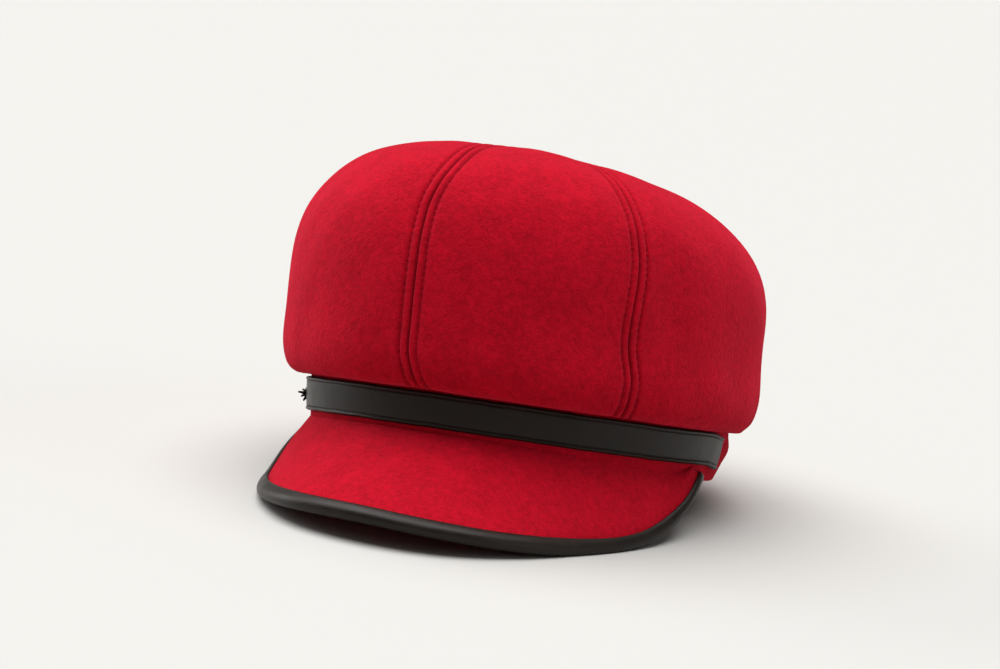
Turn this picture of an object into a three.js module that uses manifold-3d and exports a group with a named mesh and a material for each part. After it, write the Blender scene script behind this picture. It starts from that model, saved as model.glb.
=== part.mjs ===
// A six-panel peaked cap in thick red wool cloth, in millimetres.
// Frame: +X is the wearer's left, +Y the back of the head, +Z up, and the floor is z = 0.
// Everything is shaped first in the band's own frame, where z = 0 is the strap's lower edge. The whole cap is then
// tipped as it stands by itself, on the peak's two corners and the back of the band.
import * as THREE from 'three';
import { mergeVertices } from 'three/addons/utils/BufferGeometryUtils.js';
import Module from 'manifold-3d';

const RAD = Math.PI / 180;
const GAP = 0.3;                // space left between neighbouring pieces

// Band: an upright oval ring around the head.
const BAND_HALF_WIDTH = 83.8;
const BAND_HALF_LENGTH = 98.4;
const BAND_WALL = 2.8;
const BAND_BOTTOM = -6.5;
const BAND_TOP = 20;
const BAND_RIM_ROUND = 0.9;     // rounding of its upper and lower rims
const BAND_STEPS = 60;
const BAND_LEVELS = [-2, 3, 9];  // heights of its rows between the rims
const BAND_TAPER = 0.12;        // the ring narrows by this much per millimetre below the strap's upper edge
const BAND_PUFF = { out: 2, up: 6.5, tall: 5.2 };  // behind the strap's ends the cloth puffs out between its rims
const BAND_CURL = { in: 1.5, from: 2, over: 8.5 };  // and the lower rim curls in
const BAND_LOOSE = [98, 112];   // both come in between these angles
const ROOM_REACH = 70;          // half height of the clearance cut around the band
const ROOM_SIDES = 144;
const FRONT_ARCH = 1.9;         // the band's lines rise this much at the front

// Rest: front up about X, and a small lean that brings both corners of the peak to the floor.
const REST_PITCH = 8.66 * RAD;
const REST_LEAN = -2.72 * RAD;
const FLOOR_SINK = 0.7;         // depth pressed flat where cloth and binding meet the floor

// Crown: six panels sewn into one soft form. Angles run from the front toward the wearer's left.
const CROWN_WALL = 2.4;
const CROWN_HALF_WIDTH = 95.4;
const CROWN_FRONT = 116.5;      // reach of the widest line in front of the band's centre
const CROWN_BACK = 108;
const CROWN_SHIFT = -1.6;       // the soft crown sits a little to the wearer's right of the band
const WIDEST_UP = 52.6;         // height of the widest line
const CROWN_RISE = 59.8;        // from the widest line to the top
const TOP_FORWARD = 5.3;        // the middle of the top sits this far in front of the band's centre
const TOP_SIDE = -1.5;
const TOP_TILT = -0.102;        // the top is higher toward the front
const FOLD_OUT = 3.9;           // lowest line of the overhang, outside the band
const FOLD_UP = 14.95;
const FOLD_DROOP = 1.8;         // the overhang hangs lower at the back
const JOIN_UP = 17.8;           // height and clearance where the crown's edge meets the band
const JOIN_OUT = 0.65;
const SHOULDER = { side: 3.08, rise: 2.59 };  // squareness of the upper curve, 2 would be an ellipse
const HEM = { side: 2.82, rise: 2.52 };       // squareness of the lower curve
const CROWN_TIP = 1.2;          // the panels' tips end this far from the middle of the top
const SEAM_VALLEY = { deep: 1.0, wide: 8 };             // the cloth draws in along each seam
const SEAM_RIDGE = { high: 0.75, from: 2.1, wide: 1.5 }; // pressed-open allowance either side of the seam
const DENTS = [
  { name: 'beside the left front seam', angle: 58, up: 58, deep: 1.6, across: 9, along: 17 },
  { name: 'wearer left side', angle: 88, up: 40, deep: 1.2, across: 16, along: 14 },
  { name: 'right front panel', angle: -34, up: 34, deep: 0.9, across: 18, along: 12 },
];
const SEAMS = [
  { node: 'crown_panel_front_left', angle: 0.2, line: 'front' },
  { node: 'crown_panel_side_left', angle: 51.9, line: 'left' },
  { node: 'crown_panel_back_left', angle: 116, line: 'rest' },
  { node: 'crown_panel_back_right', angle: 180, line: 'rest' },
  { node: 'crown_panel_side_right', angle: 236, line: 'rest' },
  { node: 'crown_panel_front_right', angle: 292, line: 'rest' },
];
// How far each seam strays from its angle, in degrees, at heights above the strap's lower edge.
const SEAM_SWAY = [
  { up: 17, front: 1.1, left: 0, rest: 0 }, { up: 24, front: 0.15, left: 0.4, rest: 0.2 },
  { up: 30, front: -0.45, left: 0.57, rest: 0.4 }, { up: 43, front: -0.25, left: -0.7, rest: 0.2 },
  { up: 59, front: -0.36, left: -0.5, rest: -0.2 }, { up: 75, front: -0.8, left: 0.3, rest: -0.3 },
  { up: 88, front: -0.85, left: 0.4, rest: 0 }, { up: 98, front: 0, left: 0.25, rest: 0.2 },
  { up: 112, front: 1.2, left: -0.2, rest: 0 },
];
// Where a panel is cut into columns, as shares of its width.
const PANEL_COLUMNS = [0, 0.022, 0.045, 0.085, 0.17, 0.33, 0.5, 0.67, 0.83, 0.915, 0.955, 0.978, 1];
const PANEL_ROWS = { join: 2, hem: 7, shoulder: 11 };
const TOP_CALM = [4, 30];       // seams and dents fade in over these distances from the middle of the top
const JOIN_CALM = [0.3, 1.2];   // and over this stretch of v up from the band

// Strap: a flat leather strip across the front of the band, its section given from the band's face outward.
const STRAP_WIDTH = 13.8;
const STRAP_SECTION = [
  { up: 0.5, out: 0 }, { up: 0, out: 0.7 }, { up: 0.4, out: 1.7 }, { up: 1.2, out: 1.95 }, { up: 2.1, out: 1.6 },
  { up: 11.7, out: 1.6 }, { up: 12.6, out: 1.95 }, { up: 13.4, out: 1.7 }, { up: STRAP_WIDTH, out: 0.7 },
  { up: 13.3, out: 0 },
];
const STRAP_END = 98.8;         // angle where each end is stitched down
const STRAP_DIP = { from: 89, deep: 1.6 };  // the ends are drawn down a little
const STRAP_STEP = 5.2;

// Peak: a curved board in wool cloth. Rows run from the middle of the front to the end at the band.
// side, out and up place the binding's outer line, slope is how steeply the surface falls there and root the angle
// on the band where the cloth starts. The first row mirrors the third, so the line runs level through the middle.
const PEAK_ROWS = [
  { at: -18, side: -30.9, out: 141.3, up: -34.9, slope: 36, root: -9 },
  { at: 0, side: 0, out: 148.6, up: -34.1, slope: 33, root: 0 },
  { at: 18, side: 30.9, out: 141.3, up: -34.9, slope: 36, root: 9 },
  { at: 36, side: 53.9, out: 119.5, up: -35.7, slope: 43, root: 20 },
  { at: 52, side: 69.4, out: 90.4, up: -34.8, slope: 54, root: 36 },
  { at: 68, side: 80.5, out: 58.8, up: -29.1, slope: 61, root: 54 },
  { at: 80, side: 85.8, out: 32.7, up: -18.4, slope: 57, root: 70 },
  { at: 90, side: 85.8, out: 11, up: -7.4, slope: 46, root: 82 },
  { at: 97, side: 80.6, out: 0, up: -7.2, slope: 40, root: 88 },
];
const PEAK_TURN = 1.25 * RAD;   // the peak is set a little toward the wearer's left
const PEAK_ROLL = -0.0446;      // and hangs lower on that side, though not where it meets the band
const PEAK_ROLL_ENDS = { left: [72, 92], right: [82, 95] };
const PEAK_SWING = { side: 1.2, in: [45, 65], out: [82, 92] };  // its two sides swing that way as well
const PEAK_THICK = 3.6;
const PEAK_EDGE_THICK = 2.4;
const PEAK_INSET = 2.3;         // from the binding's outer line in to the board's edge
const PEAK_ROOT_IN = 2;         // the board starts this far inside the band's face and is cut back
const PEAK_TUCK = 4.8;          // flat margin of the board inside the binding
const PEAK_END = 87;
const PEAK_STEP = 6;
const PEAK_ACROSS = [0, 0.17, 0.36, 0.56, 0.76, 1, 2];
const PEAK_UNDER_STRAP = { front: 0.9, ends: 2.6 };

// Binding: leather folded over the peak's edge. Each row is a corner of its section, measured from the board's edge,
// out along the surface and up from it, going round from the lower lip to the upper lip and back inside.
const BINDING_SECTION = [
  { out: -4.3, up: -2.35 }, { out: -2.4, up: -2.85 }, { out: -0.2, up: -2.85 }, { out: 1.5, up: -2.0 },
  { out: 2.3, up: -0.6 }, { out: 2.1, up: 0.8 }, { out: 1.1, up: 2.05 }, { out: -0.6, up: 2.8 },
  { out: -2.6, up: 2.85 }, { out: -4.3, up: 2.35 }, { out: -4.3, up: 1.5 }, { out: GAP, up: 1.5 },
  { out: GAP, up: -1.5 }, { out: -4.3, up: -1.5 },
];
const BINDING_END = 96;
const BINDING_STEP = 4.8;

const wasm = await Module();
wasm.setup();

const vec = (x, y, z) => new THREE.Vector3(x, y, z);
const ramp = (from, to, x) => {
  const k = Math.min(1, Math.max(0, (x - from) / (to - from)));
  return k * k * (3 - 2 * k);
};

// Rise of the band's lines at an angle in radians, only over the front half.
function arch(t) {
  return Math.cos(t) > 0 ? FRONT_ARCH * Math.cos(t) ** 2 : 0;
}

// Point of the band's oval, moved out by a distance.
function oval(t, out, up) {
  return vec((BAND_HALF_WIDTH + out) * Math.sin(t), -(BAND_HALF_LENGTH + out) * Math.cos(t), up);
}

// Point of the band's outer face, moved out by a distance. The face tapers, and puffs and curls behind the strap.
function bandFace(t, out, up) {
  const loose = ramp(...BAND_LOOSE, Math.acos(Math.cos(t)) / RAD);
  const taper = BAND_TAPER * (Math.min(up, STRAP_WIDTH) - STRAP_WIDTH);
  const puff = BAND_PUFF.out * Math.exp(-(((up - BAND_PUFF.up) / BAND_PUFF.tall) ** 2));
  const curl = BAND_CURL.in * Math.min(1, Math.max(0, (BAND_CURL.from - up) / BAND_CURL.over)) ** 2;
  return oval(t, out + taper + loose * (puff - curl), up);
}

// Smooth value between the rows of a table, with slopes taken from the neighbouring rows.
function between(rows, key, name, x) {
  let i = rows.findIndex((row, j) => j > 0 && x <= row[key]);
  if (i < 0) i = rows.length - 1;
  const [r0, r1] = [rows[i - 1], rows[i]];
  const before = rows[i - 2] ?? r0;
  const after = rows[i + 1] ?? r1;
  const span = r1[key] - r0[key];
  const m0 = ((r1[name] - before[name]) / (r1[key] - before[key])) * span;
  const m1 = ((after[name] - r0[name]) / (after[key] - r0[key])) * span;
  const k = (x - r0[key]) / span;
  return (2 * k ** 3 - 3 * k ** 2 + 1) * r0[name] + (k ** 3 - 2 * k ** 2 + k) * m0
    + (3 * k ** 2 - 2 * k ** 3) * r1[name] + (k ** 3 - k ** 2) * m1;
}

// The crown's smooth form. v runs 0 to 1 from the band to the fold, 1 to 2 up the hem's curve to the widest line
// and 2 to 3 over the shoulder to the middle of the top.
function crownForm(t, v) {
  const [s, c] = [Math.sin(t), Math.cos(t)];
  const wide = [CROWN_HALF_WIDTH * s, -(c > 0 ? CROWN_FRONT : CROWN_BACK) * c];
  const fold = oval(t, FOLD_OUT, FOLD_UP + arch(t) - FOLD_DROOP * (1 - c) / 2);
  if (v < 1) {
    const join = oval(t, JOIN_OUT, JOIN_UP + arch(t));
    return join.clone().lerp(fold, v).setZ(fold.z + (join.z - fold.z) * (1 - v) ** 2);
  }
  if (v < 2) {
    const turn = easedTurn(v - 1, HEM.side, HEM.rise);
    const out = Math.sin(turn) ** (2 / HEM.side);
    const down = Math.cos(turn) ** (2 / HEM.rise);
    const z = WIDEST_UP - (WIDEST_UP - fold.z) * down;
    return vec(fold.x + (wide[0] - fold.x) * out + shiftAt(z), fold.y + (wide[1] - fold.y) * out, z);
  }
  const turn = easedTurn(Math.min(v - 2, 1), SHOULDER.rise, SHOULDER.side);
  const lean = Math.sin(turn) ** 1.5;
  const reach = Math.max(Math.cos(turn), 0) ** (2 / SHOULDER.side);
  const y = wide[1] * reach - TOP_FORWARD * lean;
  const z = WIDEST_UP + CROWN_RISE * Math.sin(turn) ** (2 / SHOULDER.rise) + TOP_TILT * y * lean;
  return vec(wide[0] * reach + TOP_SIDE * lean + CROWN_SHIFT, y, z);
}

// Turn of a squared curve at a share of its length, spread so that its points are evenly spaced.
function easedTurn(k, first, last) {
  return (k < 0.5 ? 0.5 * (2 * k) ** (first / 2) : 1 - 0.5 * (2 - 2 * k) ** (last / 2)) * Math.PI / 2;
}

// Sideways shift of the hem, from none at the fold to the whole of it at the widest line.
function shiftAt(z) {
  return CROWN_SHIFT * ramp(FOLD_UP, WIDEST_UP, z);
}

// Outward direction of that form.
function crownNormal(t, v) {
  const e = 0.01;
  const along = crownForm(t, Math.min(v + e, 3)).sub(crownForm(t, Math.max(v - e, 0)));
  const around = crownForm(t + e, v).sub(crownForm(t - e, v));
  return around.cross(along).normalize();
}

// Angle of a seam at v.
function seamAngle(seam, v) {
  const up = Math.min(Math.max(crownForm(seam.angle * RAD, v).z, SEAM_SWAY[0].up), SEAM_SWAY.at(-1).up);
  return (seam.angle + between(SEAM_SWAY, 'up', seam.line, up)) * RAD;
}

// Height of the seam's relief at a distance from its line, in millimetres.
function seamRelief(d) {
  const valley = -SEAM_VALLEY.deep * Math.exp(-((d / SEAM_VALLEY.wide) ** 2));
  return valley + SEAM_RIDGE.high * Math.exp(-(((d - SEAM_RIDGE.from) / SEAM_RIDGE.wide) ** 2));
}

function dentRelief(p) {
  let sum = 0;
  for (const dent of DENTS) {
    const angle = Math.atan2(p.x / CROWN_HALF_WIDTH, -p.y / CROWN_BACK) / RAD;
    const off = ((angle - dent.angle + 540) % 360) - 180;
    const across = off * RAD * CROWN_HALF_WIDTH / dent.across;
    sum -= dent.deep * Math.exp(-(across ** 2) - ((p.z - dent.up) / dent.along) ** 2);
  }
  return sum;
}

// A closed body between two grids of points, front and back, joined all round their borders. With wrap the columns
// close into a ring.
function slab(front, back, wrap = false) {
  const [rows, cols] = [front.length, front[0].length];
  const verts = [...front.flat(), ...back.flat()].flatMap((p) => [p.x, p.y, p.z]);
  const id = (side, i, j) => side * rows * cols + i * cols + (j % cols);
  const tris = [];
  const quad = (a, b, c, d) => tris.push(a, b, c, a, c, d);
  const spans = wrap ? cols : cols - 1;
  for (let i = 0; i < rows - 1; i++) {
    for (let j = 0; j < spans; j++) {
      quad(id(0, i, j), id(0, i, j + 1), id(0, i + 1, j + 1), id(0, i + 1, j));
      quad(id(1, i, j), id(1, i + 1, j), id(1, i + 1, j + 1), id(1, i, j + 1));
    }
  }
  for (let j = 0; j < spans; j++) {
    quad(id(0, 0, j), id(1, 0, j), id(1, 0, j + 1), id(0, 0, j + 1));
    quad(id(0, rows - 1, j), id(0, rows - 1, j + 1), id(1, rows - 1, j + 1), id(1, rows - 1, j));
  }
  if (!wrap) {
    for (let i = 0; i < rows - 1; i++) {
      quad(id(0, i, 0), id(0, i + 1, 0), id(1, i + 1, 0), id(1, i, 0));
      quad(id(0, i, cols - 1), id(1, i, cols - 1), id(1, i + 1, cols - 1), id(0, i + 1, cols - 1));
    }
  }
  return outward(verts, tris);
}

// A closed body swept through a list of matching closed sections, capped at both ends.
function sweep(sections, outline) {
  const n = sections[0].length;
  const verts = sections.flat().flatMap((p) => [p.x, p.y, p.z]);
  const tris = [];
  for (let i = 0; i < sections.length - 1; i++) {
    for (let j = 0; j < n; j++) {
      const [a, b] = [i * n + j, i * n + (j + 1) % n];
      tris.push(a, b, b + n, a, b + n, a + n);
    }
  }
  const cap = THREE.ShapeUtils.triangulateShape(outline.map((c) => new THREE.Vector2(c.out, c.up)), []);
  const last = (sections.length - 1) * n;
  for (const [a, b, c] of cap) tris.push(a, c, b, last + a, last + b, last + c);
  return outward(verts, tris);
}

// Geometry with its faces turned outward.
function outward(verts, tris) {
  let volume = 0;
  const at = (i) => vec(verts[3 * i], verts[3 * i + 1], verts[3 * i + 2]);
  for (let i = 0; i < tris.length; i += 3) volume += at(tris[i]).dot(at(tris[i + 1]).cross(at(tris[i + 2])));
  const order = volume < 0 ? tris.map((_, i) => tris[i - (i % 3) + 2 - (i % 3)]) : tris;
  const geometry = new THREE.BufferGeometry();
  geometry.setAttribute('position', new THREE.Float32BufferAttribute(verts, 3));
  geometry.setIndex(order);
  return geometry;
}

function toSolid(geometry) {
  const g = geometry.clone();
  g.deleteAttribute('normal');
  g.deleteAttribute('uv');
  const merged = mergeVertices(g, 1e-4);
  return new wasm.Manifold(new wasm.Mesh({
    numProp: 3,
    vertProperties: new Float32Array(merged.attributes.position.array),
    triVerts: new Uint32Array(merged.index.array),
  }));
}

function toGeometry(solid) {
  const mesh = solid.getMesh();
  const geometry = new THREE.BufferGeometry();
  geometry.setAttribute('position', new THREE.Float32BufferAttribute(mesh.vertProperties, 3));
  geometry.setIndex(Array.from(mesh.triVerts));
  return geometry;
}

// One crown panel between two seams, as a bent sheet with a smooth lining side.
function panel(seamA, seamB) {
  const rows = [];
  for (let i = 0; i < PANEL_ROWS.join; i++) rows.push(i / PANEL_ROWS.join);
  for (let i = 0; i < PANEL_ROWS.hem; i++) rows.push(1 + i / PANEL_ROWS.hem);
  for (let i = 0; i <= PANEL_ROWS.shoulder; i++) rows.push(2 + i / PANEL_ROWS.shoulder);
  const tipReach = CROWN_TIP / CROWN_HALF_WIDTH;
  const tipTurn = Math.acos(tipReach ** (SHOULDER.side / 2));
  rows[rows.length - 1] = 3 - (2 - 2 * tipTurn / (Math.PI / 2)) ** (2 / SHOULDER.side) / 2;
  const [front, back] = [[], []];
  for (const v of rows) {
    const a0 = seamAngle(seamA, v);
    const b0 = seamAngle(seamB, v) + (seamB.angle < seamA.angle ? 2 * Math.PI : 0);
    const mid = crownForm((a0 + b0) / 2, v);
    const perRadian = crownForm(b0, v).distanceTo(crownForm(a0, v)) / (b0 - a0);
    const trim = GAP / 2 / perRadian;
    const [a, b] = [a0 + trim, b0 - trim];
    const fade = ramp(...TOP_CALM, Math.hypot(mid.x, mid.y + TOP_FORWARD)) * ramp(...JOIN_CALM, v);
    const [frontRow, backRow] = [[], []];
    for (const k of PANEL_COLUMNS) {
      const t = a + (b - a) * k;
      const p = crownForm(t, v);
      const n = crownNormal(t, v);
      const d = Math.min(t - a0, b0 - t) * perRadian;
      backRow.push(p.clone().addScaledVector(n, -CROWN_WALL));
      frontRow.push(p.addScaledVector(n, (seamRelief(d) + dentRelief(p)) * fade));
    }
    front.push(frontRow);
    back.push(backRow);
  }
  return slab(front, back);
}

// The band: a ring with slightly rounded rims.
function band() {
  const rows = [{ up: BAND_BOTTOM, in: BAND_RIM_ROUND }, { up: BAND_BOTTOM + BAND_RIM_ROUND, in: 0 }];
  for (const up of BAND_LEVELS) rows.push({ up, in: 0 });
  rows.push({ up: BAND_TOP - BAND_RIM_ROUND, in: 0 }, { up: BAND_TOP, in: BAND_RIM_ROUND });
  const line = (row, out) => Array.from({ length: BAND_STEPS }, (_, j) => {
    const t = (j / BAND_STEPS) * 2 * Math.PI;
    const rise = row.up > 0 ? arch(t) : 0;
    return bandFace(t, out, row.up).add(vec(0, 0, rise));
  });
  const outer = rows.map((row) => line(row, -row.in));
  const inner = rows.map((row) => line(row, -BAND_WALL + row.in));
  return slab(outer, inner, true);
}

// Solid that fills the band with its clearance, for cutting back what is sewn against it.
function bandRoom() {
  const ring = (up) => Array.from({ length: ROOM_SIDES }, (_, j) => bandFace((j / ROOM_SIDES) * 2 * Math.PI, GAP, up));
  const outline = ring(STRAP_WIDTH).map((p) => ({ out: p.x, up: p.y }));
  return toSolid(sweep([-ROOM_REACH, STRAP_WIDTH, ROOM_REACH].map(ring), outline));
}

// The strap: an arc of leather with eased, slightly raised edges, its ends drawn down a little.
function strap() {
  const sections = [];
  for (let angle = -STRAP_END; angle <= STRAP_END + 0.01; angle += STRAP_STEP) {
    const t = angle * RAD;
    const lift = arch(t) - STRAP_DIP.deep * ramp(STRAP_DIP.from, STRAP_END, Math.abs(angle));
    sections.push(STRAP_SECTION.map((corner) => bandFace(t, GAP + corner.out, corner.up + lift)));
  }
  return sweep(sections, STRAP_SECTION);
}

// The peak's edge line and the directions along it, out over it and up from it, at an angle in degrees.
function edgePoint(at) {
  const [side, out, up] = ['side', 'out', 'up'].map((name) => between(PEAK_ROWS, 'at', name, Math.abs(at)));
  const p = vec(side * Math.sign(at), -out, up).applyAxisAngle(vec(0, 0, 1), PEAK_TURN);
  const swing = ramp(...PEAK_SWING.in, Math.abs(at)) * (1 - ramp(...PEAK_SWING.out, Math.abs(at)));
  const rollEnds = at > 0 ? PEAK_ROLL_ENDS.left : PEAK_ROLL_ENDS.right;
  p.z += PEAK_ROLL * p.x * (1 - ramp(...rollEnds, Math.abs(at)));
  p.x += PEAK_SWING.side * swing;
  return p;
}

function peakEdge(at) {
  const step = 0.2;
  const along = edgePoint(at + step).sub(edgePoint(at - step)).normalize();
  const slope = between(PEAK_ROWS, 'at', 'slope', Math.abs(at)) * RAD;
  const out = vec(along.y, -along.x, 0).normalize().multiplyScalar(Math.cos(slope)).add(vec(0, 0, -Math.sin(slope)));
  out.addScaledVector(along, -out.dot(along)).normalize();
  return { point: edgePoint(at), out, up: along.cross(out) };
}

// Middle of the board: k runs 0 to 1 along an arc from the band's face, and 1 to 2 over the flat margin.
function peakMiddle(at, k) {
  const edge = peakEdge(at);
  const end = edge.point.clone().addScaledVector(edge.out, -PEAK_INSET - PEAK_TUCK);
  if (k > 1) return end.addScaledVector(edge.out, PEAK_TUCK * (k - 1));
  const root = between(PEAK_ROWS, 'at', 'root', Math.abs(at)) * RAD * Math.sign(at) + PEAK_TURN;
  const under = PEAK_UNDER_STRAP.front + PEAK_UNDER_STRAP.ends * Math.sin(root) ** 4 + PEAK_THICK / 2;
  const start = bandFace(root, -PEAK_ROOT_IN, arch(root) - under);
  const chord = end.clone().sub(start);
  const length = chord.length();
  const leave = chord.clone().normalize().multiplyScalar(2 * edge.out.dot(chord) / length).sub(edge.out);
  return start.multiplyScalar(2 * k ** 3 - 3 * k ** 2 + 1).addScaledVector(leave, (k ** 3 - 2 * k ** 2 + k) * length)
    .addScaledVector(end, 3 * k ** 2 - 2 * k ** 3).addScaledVector(edge.out, (k ** 3 - k ** 2) * length);
}

function peak() {
  const [front, back] = [[], []];
  const count = Math.round((2 * PEAK_END) / PEAK_STEP);
  const e = 0.01;
  for (const k of PEAK_ACROSS) {
    const [frontRow, backRow] = [[], []];
    for (let i = 0; i <= count; i++) {
      const at = -PEAK_END + (2 * PEAK_END * i) / count;
      const along = peakMiddle(at + 0.5, k).sub(peakMiddle(at - 0.5, k));
      const down = k < 1 ? peakMiddle(at, k + e).sub(peakMiddle(at, Math.max(k - e, 0))) : peakEdge(at).out;
      const up = along.cross(down).normalize();
      const half = k < 1 ? PEAK_THICK / 2 : PEAK_EDGE_THICK / 2;
      const p = peakMiddle(at, k);
      frontRow.push(p.clone().addScaledVector(up, half));
      backRow.push(p.addScaledVector(up, -half));
    }
    front.push(frontRow);
    back.push(backRow);
  }
  return slab(front, back);
}

function binding() {
  const sections = [];
  const count = Math.round((2 * BINDING_END) / BINDING_STEP);
  for (let i = 0; i <= count; i++) {
    const edge = peakEdge(-BINDING_END + (2 * BINDING_END * i) / count);
    const middle = edge.point.clone().addScaledVector(edge.out, -PEAK_INSET);
    sections.push(BINDING_SECTION.map((c) => middle.clone().addScaledVector(edge.out, c.out)
      .addScaledVector(edge.up, c.up)));
  }
  return sweep(sections, BINDING_SECTION);
}

// Where the cap stands: it is leaned and pitched, then its lowest point goes FLOOR_SINK below the floor and is cut.
const stand = new THREE.Matrix4().makeRotationX(-REST_PITCH)
  .multiply(new THREE.Matrix4().makeRotationY(REST_LEAN));
const bodies = new Map();
SEAMS.forEach((seam, i) => bodies.set(seam.node, panel(seam, SEAMS[(i + 1) % SEAMS.length])));
bodies.set('band', band());
bodies.set('strap', strap());
const room = bandRoom();
bodies.set('peak', toGeometry(toSolid(peak()).subtract(room)));
bodies.set('peak_binding', toGeometry(toSolid(binding()).subtract(room)));

const box = new THREE.Box3();
for (const geometry of bodies.values()) {
  geometry.applyMatrix4(stand);
  geometry.computeBoundingBox();
  box.union(geometry.boundingBox);
}
const middle = box.getCenter(vec(0, 0, 0));
for (const geometry of bodies.values()) geometry.translate(-middle.x, -middle.y, -box.min.z - FLOOR_SINK);
for (const name of ['band', 'peak', 'peak_binding']) {
  bodies.set(name, toGeometry(toSolid(bodies.get(name)).trimByPlane([0, 0, 1], 0)));
}

const cloth = { color: 0xb3122a, roughness: 0.95, metalness: 0 };
const leather = { color: 0x262422, roughness: 0.5, metalness: 0 };
const group = new THREE.Group();
group.name = 'cap';
for (const [name, geometry] of bodies) {
  geometry.computeVertexNormals();
  const look = name === 'strap' || name === 'peak_binding' ? leather : cloth;
  const mesh = new THREE.Mesh(geometry, new THREE.MeshStandardMaterial(look));
  mesh.name = name;
  group.add(mesh);
}

export default group;
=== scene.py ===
import math

import bpy
import numpy as np
from mathutils import Matrix, Vector


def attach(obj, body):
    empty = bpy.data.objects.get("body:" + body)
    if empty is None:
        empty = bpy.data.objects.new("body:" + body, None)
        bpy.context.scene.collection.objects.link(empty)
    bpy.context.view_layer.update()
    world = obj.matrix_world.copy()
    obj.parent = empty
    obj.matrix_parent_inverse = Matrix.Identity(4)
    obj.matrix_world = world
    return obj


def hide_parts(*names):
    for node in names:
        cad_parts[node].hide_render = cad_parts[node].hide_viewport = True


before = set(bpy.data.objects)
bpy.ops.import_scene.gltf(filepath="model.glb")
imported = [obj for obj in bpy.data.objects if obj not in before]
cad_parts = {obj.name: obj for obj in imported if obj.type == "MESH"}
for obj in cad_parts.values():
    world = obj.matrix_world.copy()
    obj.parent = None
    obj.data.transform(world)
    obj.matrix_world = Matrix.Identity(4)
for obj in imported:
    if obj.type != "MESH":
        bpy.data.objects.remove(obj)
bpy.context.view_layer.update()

bl_info = {
    "name": "Paneled Wool Cap",
    "version": (1, 0, 0),
    "blender": (4, 5, 0),
    "location": "3D View > Sidebar > Cap",
    "description": "Builds a red wool cap with a leather strap and a bound peak on its CAD frame",
    "category": "Add Mesh",
}

# Sizes in millimetres and angles in degrees, in the band's own frame: z = 0 is the strap's lower edge, +X the
# wearer's left and +Y the back of the head. The solids have the same values, apart from the crown's fold
# height and tip, the peak's end and the height of its root, the sections of strap and binding, and the relief,
# which they have in part.
BAND = {
    "half_width": 83.8, "half_length": 98.4, "wall": 2.8, "bottom": -6.5, "top": 20.0, "rim": 0.9,
    "taper": 0.12,
}
# Behind the strap's ends the cloth puffs out between its rims and its lower rim curls in.
LOOSE = {
    "from": 98, "to": 112, "puff": 2.0, "puff_up": 6.5, "puff_tall": 5.2, "curl": 1.5, "curl_up": 2.0,
    "curl_tall": 8.5,
}
FRONT_ARCH = 1.9
STAND = {"pitch": 8.66, "lean": -2.72, "shift": (3.811, 18.433, 20.677)}

CROWN = {
    "wall": 2.4, "half_width": 95.4, "front": 116.5, "back": 108.0, "shift": -1.6, "widest_up": 52.6,
    "rise": 59.8, "top_forward": 5.3, "top_side": -1.5, "top_tilt": -0.102, "fold_out": 3.9, "fold_up": 14.0,
    "fold_droop": 1.8, "join_up": 17.8, "join_out": 0.65, "tip": 0.25,
}
SHOULDER = {"side": 3.08, "rise": 2.59}
HEM = {"side": 2.82, "rise": 2.52}
# Columns: panel, angle of its first seam, line of sway.
PANELS = [
    ("front_left", 0.2, "front"), ("side_left", 51.9, "left"), ("back_left", 116.0, "rest"),
    ("back_right", 180.0, "rest"), ("side_right", 236.0, "rest"), ("front_right", 292.0, "rest"),
]
SWAY_UP = [17, 24, 30, 43, 59, 75, 88, 98, 112]
SWAY = {
    "front": [1.1, 0.15, -0.45, -0.25, -0.36, -0.8, -0.85, 0, 1.2],
    "left": [0, 0.4, 0.57, -0.7, -0.5, 0.3, 0.4, 0.25, -0.2],
    "rest": [0, 0.2, 0.4, 0.2, -0.2, -0.3, 0, 0.2, 0],
}
# Columns: angle, height, depth, reach across, reach along.
DENTS = [(58, 58, 1.6, 9, 17), (88, 40, 1.2, 16, 14), (-34, 34, 0.9, 18, 12)]
# Across a seam: the soft valley it lies in, the seam's own crease, the sewn row, and the cloth's rise beyond.
SEAM = {
    "valley": 1.0, "valley_wide": 8.0, "crease": 0.9, "crease_wide": 0.55, "row_deep": 0.85, "row_wide": 0.8,
    "shoulder": 0.3, "shoulder_past": 1.9, "shoulder_wide": 1.5,
}
# The cloth's roll over the band at its fold, and the puff above it.
FOLD = {"deep": 1.3, "tall": 3.2, "puff": 1.0, "puff_up": 12, "puff_tall": 11}
# Size of the soft waves in the cloth, in three crossing sets.
WAVES = (0.22, 0.16, 0.10)

STRAP = {
    "width": 13.8, "end": 98.8, "dip_from": 89.0, "dip": 1.6, "row_in": 1.75, "clear": 0.12, "thick": 1.55,
    "edge_round": 0.85, "bead_wide": 0.55, "groove": 0.24, "groove_wide": 0.3, "belly": 0.18, "wave": 0.10,
}

# Columns: angle, side, out, up, slope, root.
PEAK_ROWS = np.array([
    (-18, -30.9, 141.3, -34.9, 36, -9), (0, 0, 148.6, -34.1, 33, 0), (18, 30.9, 141.3, -34.9, 36, 9),
    (36, 53.9, 119.5, -35.7, 43, 20), (52, 69.4, 90.4, -34.8, 54, 36), (68, 80.5, 58.8, -29.1, 61, 54),
    (80, 85.8, 32.7, -18.4, 57, 70), (90, 85.8, 11, -7.4, 46, 82), (97, 80.6, 0, -7.2, 40, 88),
])
PEAK = {
    "turn": 1.25, "roll": -0.0446, "roll_left": (72, 92), "roll_right": (82, 95), "thick": 3.6,
    "edge_thick": 2.4, "inset": 2.3, "root_in": 2.0, "tuck": 4.8, "end": 91.0, "swing": 1.2,
    "swing_in": (45, 65), "swing_out": (82, 92), "full": 2.9,
}
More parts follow.
